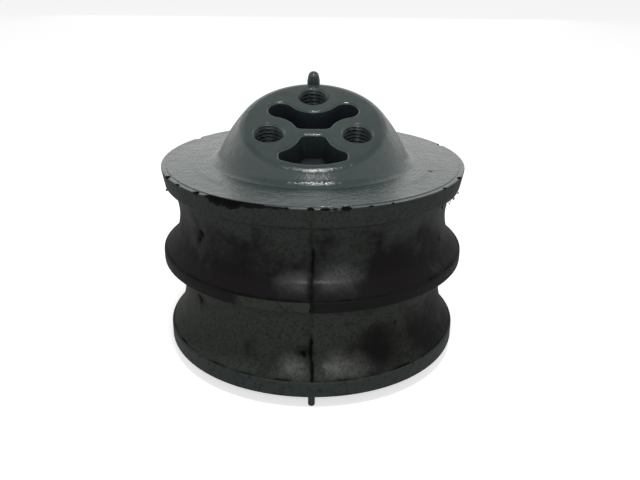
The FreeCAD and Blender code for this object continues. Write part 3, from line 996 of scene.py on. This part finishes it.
@dataclass
class Thread:
    """A right-hand coarse thread, cut by a closed plug with the thread's own surface."""

    minor: float = 6.03 * MM
    major: float = 7.0 * MM
    pitch: float = 2.0 * MM
    crest: float = 0.12
    flank: float = 0.72
    mouth: float = 0.3 * MM
    run_out: float = 2.5 * MM
    off_floor: float = 1.5 * MM
    core: float = 5.9 * MM
    core_rise: float = 4.0
    steps_round: int = 48
    steps_per_turn: int = 12

    def radius(self, angle: Array, depth: Array, length: float) -> Array:
        """The thread's radius.

        Args:
            angle: round the hole's axis.
            depth: below the hole's mouth.
            length: how deep the thread goes.

        Returns:
            The radius at each point.
        """
        phase = (-depth / self.pitch - angle / TURN) % 1.0
        cut = ramp(np.abs(2 * phase - 1) - self.crest, self.flank)
        fade = ramp(length - depth, self.run_out)
        bore = self.core + (self.minor - self.core) * np.minimum(fade * self.core_rise, 1)
        return bore + (self.major - self.minor) * cut * fade

    def plug(self, length: float) -> Piece:
        """Makes the plug, with its mouth at the origin and its body down -Z.

        Args:
            length: how deep the thread goes.

        Returns:
            The plug.
        """
        rings = round((length - self.mouth) / self.pitch * self.steps_per_turn) + 1
        across = self.steps_round
        angle, depth = np.meshgrid(np.arange(across) * TURN / across,
                                   np.linspace(self.mouth, length, rings))
        radius = self.radius(angle, depth, length)
        points = np.stack([radius * np.cos(angle), radius * np.sin(angle), -depth], axis=-1)
        last = (rings - 1) * across
        faces = [*ring_faces(rings, across, rising=False), tuple(range(across)),
                 tuple(reversed(range(last, last + across)))]
        return add_object("thread_plug", new_mesh("thread_plug", points.reshape(-1, 3), faces))


@dataclass
class Workshop:
    """What the sub-assemblies share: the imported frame, the tree, the cut steel and the thread."""

    frame: dict
    tree: Tree
    steel: Material
    thread: Thread = field(default_factory=Thread)
    mouth_depth: float = 1.6 * MM

    def mounts(self, start: str) -> list[dict]:
        """The record's mounts whose names start with a word."""
        return [m for m in self.frame["record"]["mounts"] if m["name"].startswith(start)]

    def tapped_solid(self, node: str, name: str, paint: Material, start: str) -> Piece:
        """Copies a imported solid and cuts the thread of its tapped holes.

        Args:
            node: the solid.
            name: the copy's name.
            paint: the copy's finish; the threads are bare steel.
            start: how the names of the holes' mounts start.

        Returns:
            The copy.
        """
        piece = solid_copy(self.frame["nodes"][node], name)
        piece.data.materials.append(paint)
        holes = self.mounts(start)
        axis = Vector(holes[0]["axis"])
        wall = holes[0]["dims"]["length_mm"] * MM
        places = [Vector(hole["pos_m"]) + axis * (wall / 2 + self.mouth_depth) for hole in holes]
        turned = Vector((0, 0, 1)).rotation_difference(axis).to_euler()
        plug = self.thread.plug(wall + self.mouth_depth - self.thread.off_floor)
        cutter = set_out(self.tree, name + "_taps", places, plug, Turn=tuple(turned),
                         Finish=self.steel)
        cut = piece.modifiers.new("taps", "BOOLEAN")
        cut.object = cutter
        cut.operation = "DIFFERENCE"
        cut.solver = "EXACT"
        cut.material_mode = "TRANSFER"
        apply_modifiers(piece)
        bpy.data.objects.remove(cutter)
        return piece


@dataclass
class HubCasting:
    """The domed hub with its flange, leaning bolting face, pockets, nub and tapped holes."""

    shop: Workshop
    nicks: tuple[Nick, ...] = (
        Nick(53.2, -21.5, 1.5, narrow=1.6),
        Nick(57.6, -19.7, 4.0, narrow=4.0 / 0.35, thin=4.0 / 0.35),
        *(Nick(x, y, 0.7, narrow=2.2) for x, y in ((-61.0, 3.6), (-65.0, -5.2), (-57.0, 12.0))))

    def build(self) -> Material:
        """Makes the casting.

        Returns:
            Its paint.
        """
        face = self.shop.mounts("bolting_face")[0]
        paint = CastingPaint("casting_paint", face=Vector(face["pos_m"]),
                             lean=Vector(face["axis"]), nicks=self.nicks).build()
        piece = self.shop.tapped_solid("hub_casting", "hub", paint, "bolt_hole")
        # The cored mask is where the pockets' painted shade goes.
        mark(piece.data, "cored", cored(piece.data))
        shade_solid(piece)
        finish_with(piece, paint, Slot.CASTING, "hub_casting")
        return paint


@dataclass(frozen=True)
class Pit:
    """A place on a neck where rubber is torn out: its angle in degrees, the rest in millimetres."""

    angle: float
    height: float
    reach: float
    depth: float


@dataclass(frozen=True)
class Tear:
    """A place where the lip's top edge is torn down: angles in degrees, the drop in millimetres."""

    middle: float
    half: float
    drop: float


@dataclass
class RubberSpring:
    """A moulded rubber spring with a flared foot, a hollow neck and a seam at front and back."""

    finish: Material
    foot: float
    top: float
    foot_radius: float
    node: str = "lower_rubber"
    neck_foot: float = 66.9 * MM
    neck_mouth: float = 67.6 * MM
    neck_hollow: float = 31.0 * MM
    neck_depth: float = 6.0 * MM
    flare: float = 5.8 * MM
    flare_rounding: float = 1.2 * MM
    seam_height: float = 0.42 * MM
    seam_half: float = 0.42 * MM
    crease: float = 0.35 * MM
    crease_beside: float = 1.1 * MM
    crease_half: float = 0.45 * MM
    step: float = 0.16 * MM
    step_rise: float = 0.8 * MM
    step_reach: float = 18 * MM
    foot_fade: float = 2.0 * MM
    top_fade: float = 1.0 * MM
    foot_line: float = 0.65 * MM
    mouth_line: float = 0.50 * MM
    pits: tuple[Pit, ...] = (Pit(-53.0, 31.5, 2.2, 0.4), Pit(-2.9, 18.5, 1.1, 0.3),
                             Pit(36.0, 27.0, 1.0, 0.3), Pit(-131.0, 24.0, 1.5, 0.5))
    columns: int = 720

    @property
    def neck_top(self) -> float:
        """The height of the neck's mouth."""
        return self.top

    def neck_outline(self) -> list[Vector]:
        """The outline's visible side.

        Returns:
            Its points, as radius and height, from the foot up to the neck's mouth.
        """
        start = Vector((self.foot_radius, self.foot))
        waist = Vector((self.neck_foot, self.foot + self.flare))
        mouth = Vector((self.neck_mouth, self.neck_top))
        blend = round_corner(start, waist, waist + Vector((-0.5, 1.0)) * MM, self.flare_rounding)
        return [start, *straight_line(start, waist, 16)[:-3], *blend,
                *hollow_curve(blend[-1], mouth, self.neck_hollow, 30)]

    def outline(self) -> list[Vector]:
        """The whole closed outline, from the axis round to the axis."""
        return [Vector((0, self.foot)), *self.neck_outline(), Vector((0, self.top))]

    def beside_seam(self, grid: Grid) -> Array:
        """How far each point is from the seams' wandering line.

        Args:
            grid: the turned points.

        Returns:
            The distances, above 0 towards +X.
        """
        height = grid.height
        wander = 0.35 * MM * np.sin(height / (4.5 * MM)) + 0.15 * MM * np.sin(height / (1.7 * MM))
        return grid.radius * np.sin(grid.angle) - wander

    def relief(self, grid: Grid) -> Array:
        """The seams, the creases beside them, the step between the mould's halves, and lumps.

        Args:
            grid: the turned points.

        Returns:
            How far each point stands out.
        """
        lumps = grid.ripple(16 * MM, 3) * 0.22 * MM + grid.ripple(5 * MM, 5) * 0.07 * MM
        beside = self.beside_seam(grid)
        ragged = 0.75 + 0.5 * np.sin(grid.height / (2.1 * MM)) * np.sin(grid.height / (0.9 * MM))
        ridge = self.seam_height * ragged * hill(beside, self.seam_half)
        dip = self.crease * hill(beside + self.crease_beside, self.crease_half)
        halves = self.step * np.tanh(beside / self.step_rise) * hill(beside, self.step_reach)
        edge = ramp(grid.height - self.foot, self.foot_fade)
        edge *= ramp(self.top - grid.height, self.top_fade)
        return edge * (lumps + ridge - dip + halves)

    def raw_and_shade_lines(self, grid: Grid, smear: Array) -> Array:
        """The raw lines along the seams, and the painted shade along the neck's foot and mouth.

        Args:
            grid: the turned points.
            smear: noise that breaks the lines up.

        Returns:
            How raw each point is.
        """
        slow = grid.ripple(9.0 * MM, 7)
        low = ramp((self.foot + self.top) / 2 + 3 * MM - grid.height, 5 * MM)
        wide = self.seam_half * (0.8 + 1.1 * low + 0.9 * smear * low)
        seam = hill(self.beside_seam(grid), wide) * (0.30 + 0.95 * low + 0.7 * smear)
        seam *= np.where(np.cos(grid.angle) > 0, 1.0, 0.7)
        # Painted shade: near-black lines where the neck meets the plate below and tucks under the one
        # above.
        shade_line = hill(grid.height - self.foot - 0.2 * MM * slow, self.foot_line)
        shade_line *= 0.55 + 1.3 * slow + 0.5 * smear
        shade_line += hill(grid.height - self.neck_top, self.mouth_line) * (0.7 + 0.9 * smear)
        return np.maximum(seam, shade_line)

    def shape(self, grid: Grid) -> tuple[Array, Array]:
        """Gives the neck its relief, its raw lines, its painted shade lines and its pits.

        Args:
            grid: the turned points.

        Returns:
            Each point's radius, and how dark it is painted: raw seams and pits, and painted shade
            along the foot and mouth.
        """
        outside = grid.radius > self.neck_foot - self.neck_depth
        smear = grid.ripple(2.6 * MM, 6)
        moved = grid.radius + np.where(outside, self.relief(grid), 0)
        raw_and_shade_mask = np.where(outside, self.raw_and_shade_lines(grid, smear), 0)
        for pit in self.pits:
            beside = (grid.angle - math.radians(pit.angle) + math.pi) % TURN - math.pi
            away = np.hypot(grid.radius * beside, grid.height - pit.height * MM)
            away = np.clip(away + 1.4 * MM * smear, 0, None)
            inside = outside * hill(away, pit.reach * MM)
            moved = moved - pit.depth * MM * inside
            raw_and_shade_mask = np.maximum(raw_and_shade_mask, np.clip(2.2 * inside - 0.6, 0, 1))
        return moved, np.clip(raw_and_shade_mask, 0, 1)

    def build(self) -> Piece:
        """Makes the spring.

        Returns:
            The moulding.
        """
        angles = seam_columns(self.columns, extra=36)
        piece = turn(self.node + "_moulding", self.outline(), angles, "raw_and_shade_mask", self.shape)
        finish_with(piece, self.finish, Slot.RUBBER, self.node)
        return piece


@dataclass
class LippedSpring(RubberSpring):
    """The upper spring, whose lip wraps the rim of the flange and is torn and chipped."""

    node: str = "upper_rubber"
    flange_foot: float = 79.0 * MM
    flange_radius: float = 69.6 * MM
    lip_radius: float = 72.0 * MM
    lip_foot: float = 70.4 * MM
    lip_skin: float = 0.12 * MM
    sill: float = 0.8 * MM
    rounding: float = 0.7 * MM
    painted_from: float = 86.5 * MM
    painted_slope: float = 0.3
    rawest_painted: float = 0.7
    bite: float = 1.5
    columns: int = 900
    pits: tuple[Pit, ...] = (Pit(-49.5, 65.0, 2.0, 0.8), Pit(-50.5, 61.5, 1.4, 0.5),
                             Pit(63.0, 58.0, 1.2, 0.5), Pit(118.0, 64.0, 1.6, 0.6))
    tears: tuple[Tear, ...] = (
        Tear(-34.0, 5.2, 3.3), Tear(-28.5, 6.5, 3.7), Tear(-20.0, 6.0, 1.9), Tear(-13.5, 6.0, 0.9),
        Tear(-42.8, 1.5, 1.3), Tear(-54.0, 1.6, 0.8), Tear(-64.0, 1.8, 1.2), Tear(-8.6, 1.0, 1.0),
        Tear(-0.6, 1.3, 1.5), Tear(4.2, 1.9, 1.0), Tear(10.8, 1.9, 1.9), Tear(7.2, 1.2, 0.8),
        Tear(19.1, 1.1, 0.9), Tear(27.0, 0.8, 0.6), Tear(52.0, 1.2, 0.8), Tear(66.0, 1.6, 1.0),
        Tear(113.0, 2.0, 1.4), Tear(151.0, 1.0, 1.0), Tear(-122.0, 2.6, 1.5),
        Tear(-168.0, 1.2, 0.9))

    @property
    def neck_top(self) -> float:
        """The height of the neck's mouth, under the lip."""
        return self.flange_foot - self.sill

    def outline(self) -> list[Vector]:
        """The whole closed outline, with the lip round the flange's rim.

        Returns:
            Its points, from the axis round to the axis.
        """
        mouth = Vector((self.neck_mouth, self.neck_top))
        low = Vector((self.lip_foot, self.flange_foot))
        high = Vector((self.lip_radius, self.top))
        inner = Vector((self.flange_radius, self.top))
        inner_low = Vector((self.flange_radius, self.flange_foot))
        foot_bend = round_corner(mouth, low, high, self.rounding)
        top_bend = round_corner(low, high, inner, self.rounding)
        return [Vector((0, self.foot)), *self.neck_outline(),
                *straight_line(mouth, foot_bend[0], 3), *foot_bend[1:],
                *straight_line(foot_bend[-1], top_bend[0], 18), *top_bend[1:],
                *straight_line(top_bend[-1], inner, 4), *straight_line(inner, inner_low, 8),
                Vector((0, self.flange_foot))]

    def drop(self, grid: Grid) -> Array:
        """How far the lip's top edge is torn down.

        Args:
            grid: the turned points.

        Returns:
            The drop at each point's angle.
        """
        degrees, total = grid.degrees, np.zeros_like(grid.angle)
        for tear in self.tears:
            away = np.abs(degrees - tear.middle) / tear.half
            total = np.maximum(total, tear.drop * MM * np.clip(1.1 - 1.1 * away ** 2, 0, 1))
        edge = Grid(grid.angle, np.full_like(total, self.lip_radius), np.zeros_like(total))
        frayed = edge.ripple(2.9 * MM, 8) + 0.35 * edge.ripple(1.4 * MM, 9)
        worn = 0.22 * MM * np.clip(frayed - 0.45, 0, 1)
        return np.where(total > 0, total * (1 + 0.30 * frayed), 0) + worn

    def shape(self, grid: Grid) -> tuple[Array, Array]:
        """Adds the tears along the lip to what every spring has.

        Args:
            grid: the turned points.

        Returns:
            Each point's radius, and how raw it is, the tears also near black as painted shade of the
            gap behind them.
        """
        moved, raw_and_shade_mask = super().shape(grid)
        lip = grid.height > self.flange_foot + 0.3 * MM
        outer = lip & (moved > self.flange_radius + 0.02 * MM)
        depth = np.clip(self.drop(grid) - (self.top - grid.height), 0, None)
        left = np.maximum(self.lip_radius - self.bite * depth, self.flange_radius + self.lip_skin)
        bitten = np.where(outer & (depth > 0), np.minimum(moved, left), moved)
        # The bitten lip is marked raw, which paints it near black: raw rubber, and painted shade of
        # the gap behind it.
        return bitten, np.maximum(raw_and_shade_mask, ramp(moved - bitten, 0.22 * MM))

    def paint_lip(self, piece: Piece, paint: Material) -> None:
        """Carries the casting's paint over the lip's top, wherever it isn't torn.

        Args:
            piece: the moulded spring.
            paint: the casting's finish.
        """
        piece.data.materials.append(paint)
        raw_and_shade_mask = piece.data.attributes["raw_and_shade_mask"].data
        for face in piece.data.polygons:
            raw_and_shade = max(raw_and_shade_mask[corner].value for corner in face.vertices)
            on_top = face.center.z > self.painted_from and face.normal.z > self.painted_slope
            if on_top and raw_and_shade < self.rawest_painted:
                face.material_index = 1


@dataclass
class MiddlePlate:
    """The plate between the springs: its rim is bare in front on the left, and filmed elsewhere."""

    finish: Material
    foot: float
    top: float
    radius: float
    edge: float = 6.0 * MM
    film: float = 0.3 * MM
    bare_from: float = -27.0
    bare_to: float = -0.8
    crack: float = -10.0
    crack_half: float = 0.35
    seam_half: float = 0.55
    seam_depth: float = 0.6 * MM
    level_fade: float = 0.7 * MM
    columns: int = 900

    def shape(self, grid: Grid) -> tuple[Array, Array]:
        """Sinks the bare stretch of the rim below the rubber film that covers the rest.

        Args:
            grid: the turned points.

        Returns:
            Each point's radius, and how bare it is.
        """
        frayed = grid.ripple(2.2 * MM, 21)
        across = grid.degrees + 0.9 * frayed
        bare = ramp(across - self.bare_from, 2.5) * ramp(self.bare_to - across, 0.35)
        lean = (grid.height - (self.foot + self.top) / 2) / (self.top - self.foot)
        split = np.abs(grid.degrees - self.crack + 3.0 * lean + 0.25 * frayed)
        bare = bare * ramp(split, self.crack_half)
        level = ramp(self.top - grid.height, self.level_fade)
        level = level * ramp(grid.height - self.foot, self.level_fade)
        bare = bare * np.clip(level * 2, 0, 1)
        rim = grid.radius > self.radius - 2 * RIM_ROUNDING
        seam = np.where(np.abs(grid.degrees) < self.seam_half, self.seam_depth, 0) * level
        lumps = 0.08 * MM * (grid.ripple(3.5 * MM, 22) - 1)
        sunk = np.where(rim, -self.film * bare + lumps * (1 - bare) * level - seam, 0)
        return grid.radius + sunk, bare * rim

    def build(self) -> None:
        """Makes the plate."""
        low, high = Vector((self.radius, self.foot)), Vector((self.radius, self.top))
        bottom, top = Vector((0, self.foot)), Vector((0, self.top))
        low_bend = round_corner(bottom, low, high, RIM_ROUNDING)
        high_bend = round_corner(low, high, top, RIM_ROUNDING)
        inner = self.radius - self.edge
        outline = [bottom, Vector((inner, self.foot)), *low_bend,
                   *straight_line(low_bend[-1], high_bend[0], 12), *high_bend[1:],
                   Vector((inner, self.top)), top]
        piece = turn("middle_plate_rim", outline, seam_columns(self.columns, extra=30), "bare",
                     self.shape)
        finish_with(piece, self.finish, Slot.PLATE, "middle_plate")


@dataclass
class BasePlate:
    """The base plate with its tapped holes, and the locating pin in front."""

    shop: Workshop
    finish: Material
    pin_finish: Material

    def build(self) -> None:
        """Makes the plate and dresses the pin."""
        piece = self.shop.tapped_solid("base_plate", "base", self.finish, "base_hole")
        mark(piece.data, "bare", 1.0)
        shade_solid(piece)
        finish_with(piece, self.finish, Slot.PLATE, "base_plate")
        pin = self.shop.frame["nodes"]["locating_pin"]
        pin.data.materials.clear()
        pin.data.materials.append(self.pin_finish)
        LOG.info("%s: dressed", pin.name)


@dataclass
class LipFlakes:
    """Shreds of moulding flash that hang from the lip's lower edge."""

    shop: Workshop
    finish: Material
    height: float
    radius: float = 70.6 * MM
    length: float = 1.5 * MM
    rawness: float = 0.7
    angles: tuple[float, ...] = (-72.0, -70.5, 53.0, 55.5, 58.0, 60.0, 62.5, 64.0, 71.0, 148.0,
                                 163.0, -131.0, -127.0, -104.0)

    def shred(self) -> Piece:
        """One small pointed wedge that hangs down -Z.

        Returns:
            The wedge, with its root at the origin.
        """
        mesh = bpy.data.meshes.new("shred")
        shape = bmesh.new()
        bmesh.ops.create_icosphere(shape, subdivisions=2, radius=1.0)
        for vertex in shape.verts:
            taper = 0.5 + 0.5 * vertex.co.z
            bend = 0.25 * math.sin(3 * vertex.co.z)
            vertex.co.x = (vertex.co.x * (0.25 + 0.75 * taper) + bend) * 0.42 * self.length
            vertex.co.y = vertex.co.y * (0.3 + 0.7 * taper) * 0.24 * self.length
            vertex.co.z = (vertex.co.z - 0.8) * 0.55 * self.length
        shape.to_mesh(mesh)
        shape.free()
        return add_object("shred", mesh)

    def build(self) -> None:
        """Makes the shreds."""
        places = [Vector((self.radius * math.sin(a), -self.radius * math.cos(a), self.height))
                  for a in map(math.radians, self.angles)]
        piece = set_out(self.shop.tree, "lip_flakes", places, self.shred(),
                        Turn_Spread=(0.5, 0.5, 3.1), Smallest=0.45, Largest=1.15, Seed=4,
                        Finish=self.finish)
        mark(piece.data, "raw_and_shade_mask", self.rawness)
        smooth(piece.data, crease=60)
        finish_with(piece, self.finish, Slot.RUBBER)


# ---------------------------------------------------------------------------------------------
# Studio
# ---------------------------------------------------------------------------------------------


@dataclass(frozen=True)
class Lamp:
    """A square lamp: its name, its place, its side and its power in watts."""

    name: str
    place: Triple
    side: float
    watts: float

    def build(self, aim: Vector) -> None:
        """Adds the lamp.

        Args:
            aim: the place that it points at.
        """
        light = bpy.data.lights.new(self.name, "AREA")
        light.size = self.side
        light.energy = self.watts
        lamp = add_object(self.name, light)
        lamp.visible_camera = False
        lamp.location = self.place
        lamp.rotation_euler = (aim - lamp.location).to_track_quat("-Z", "Y").to_euler()


@dataclass
class Studio:
    """A pale floor, soft light, and a camera a little above the front.

    Its lamps are a key high above the front, a low one beside the camera, and one behind.
    """

    floor_height: float
    floor_half: float = 4.0
    floor_glow: float = 0.60
    ambient: float = 0.33
    backdrop_top: float = 0.6
    backdrop_fade: float = 0.3
    aim: Triple = (0.0, 0.0, 0.07)
    lamps: tuple[Lamp, ...] = (Lamp("key", (0.02, -0.25, 0.98), 0.12, 4.0),
                               Lamp("front", (0.06, -0.94, 0.60), 0.24, 2.0),
                               Lamp("back", (0.0, 1.40, 0.62), 1.3, 0.9))
    lens: float = 42.0
    sensor: float = 36.0
    camera_place_mm: Triple = (0.0, -347.6, 186.97)
    pitch: float = 22.15
    yaw: float = 0.62
    roll: float = 0.62

    def build(self) -> None:
        """Makes the studio."""
        self.floor()
        self.world()
        for lamp in self.lamps:
            lamp.build(Vector(self.aim))
        self.camera()
        bpy.context.scene.view_settings.view_transform = "Standard"

    def floor(self) -> None:
        """A wide pale floor under the part."""
        corners = [(x * self.floor_half, y * self.floor_half, self.floor_height)
                   for x, y in ((-1, -1), (1, -1), (1, 1), (-1, 1))]
        floor = add_object("floor", new_mesh("floor", corners, [(0, 1, 2, 3)]))
        look = Look("floor_white")
        seen = look.node("ShaderNodeLightPath").outputs["Is Camera Ray"]
        look.dress(Base_Color=(0.9, 0.9, 0.9), Roughness=0.9, Specular_IOR_Level=0.0,
                   Emission_Color=WHITE, Emission_Strength=look.times(seen, self.floor_glow))
        floor.data.materials.append(look.material)

    def world(self) -> None:
        """A surround that is white where seen or mirrored, up to its top, and dimmer as light."""
        world = bpy.data.worlds.new("surround")
        world.use_nodes = True
        graph = Graph(world.node_tree)
        path = graph.node("ShaderNodeLightPath").outputs
        height = graph.height(graph.node("ShaderNodeTexCoord").outputs["Generated"])
        overhead = graph.step(height, self.backdrop_top, self.backdrop_top + self.backdrop_fade)
        mirrored = graph.times(path["Is Glossy Ray"], graph.maths("SUBTRACT", 1.0, overhead))
        shown = graph.maths("MAXIMUM", path["Is Camera Ray"], mirrored)
        shown = graph.maths("MAXIMUM", shown, path["Is Transmission Ray"])
        background = world.node_tree.nodes["Background"].inputs
        graph.feed(background["Strength"], graph.scaled(shown, 1.0 - self.ambient, self.ambient))
        graph.feed(background["Color"], WHITE)
        bpy.context.scene.world = world

    def camera(self) -> None:
        """The camera, turned by its yaw, pitch and roll in degrees."""
        data = bpy.data.cameras.new("camera")
        data.lens = self.lens
        data.sensor_width = self.sensor
        data.clip_start = 10 * MM
        camera = add_object("camera", data)
        pitch, yaw, roll = (math.radians(a) for a in (self.pitch, self.yaw, self.roll))
        turned = (Matrix.Rotation(-yaw, 4, "Z") @ Matrix.Rotation(math.pi / 2 - pitch, 4, "X")
                  @ Matrix.Rotation(roll, 4, "Z"))
        camera.matrix_world = Matrix.Translation(Vector(self.camera_place_mm) * MM) @ turned
        bpy.context.scene.camera = camera


def main() -> None:
    """Builds the dressed mount and its studio."""
    logging.basicConfig(level=logging.INFO, format="%(name)s: %(message)s")
    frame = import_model()
    for build_effect in (build_grain, build_flecks, build_scar, build_rings):
        build_effect()
    steel = OiledSteel("cut_steel", roughness=0.32, depth=0.03 * MM).build()
    pin_steel = OiledSteel("pin_steel", depth=0.05 * MM, colour=(0.012, 0.012, 0.012),
                           stain=(0.006, 0.006, 0.006), metallic=0.0).build()
    upper_skin, lower_skin = UPPER_SKIN.build(), LOWER_SKIN.build()
    plate_paint = PlatePaint("plate_paint").build()
    rubbed_paint = PlatePaint("rubbed_plate_paint", painted=(0.030, 0.033, 0.027)).build()
    shop = Workshop(frame, setting_out(), steel)

    _, base_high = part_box("base_plate")
    middle_low, middle_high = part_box("middle_plate")
    lower_low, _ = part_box("lower_rubber")
    _, upper_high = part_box("upper_rubber")
    hub_low, hub_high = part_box("hub_casting")

    casting_paint = HubCasting(shop).build()
    upper = LippedSpring(upper_skin, middle_high.z, upper_high.z, middle_high.x - RIM_ROUNDING,
                         flange_foot=hub_low.z, flange_radius=hub_high.x)
    upper.paint_lip(upper.build(), casting_paint)
    MiddlePlate(rubbed_paint, middle_low.z, middle_high.z, middle_high.x).build()
    RubberSpring(lower_skin, lower_low.z, middle_low.z, base_high.x - RIM_ROUNDING).build()
    BasePlate(shop, plate_paint, pin_steel).build()
    LipFlakes(shop, upper_skin, hub_low.z).build()

    Studio(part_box("locating_pin")[0].z).build()


if __name__ == "__main__":
    main()
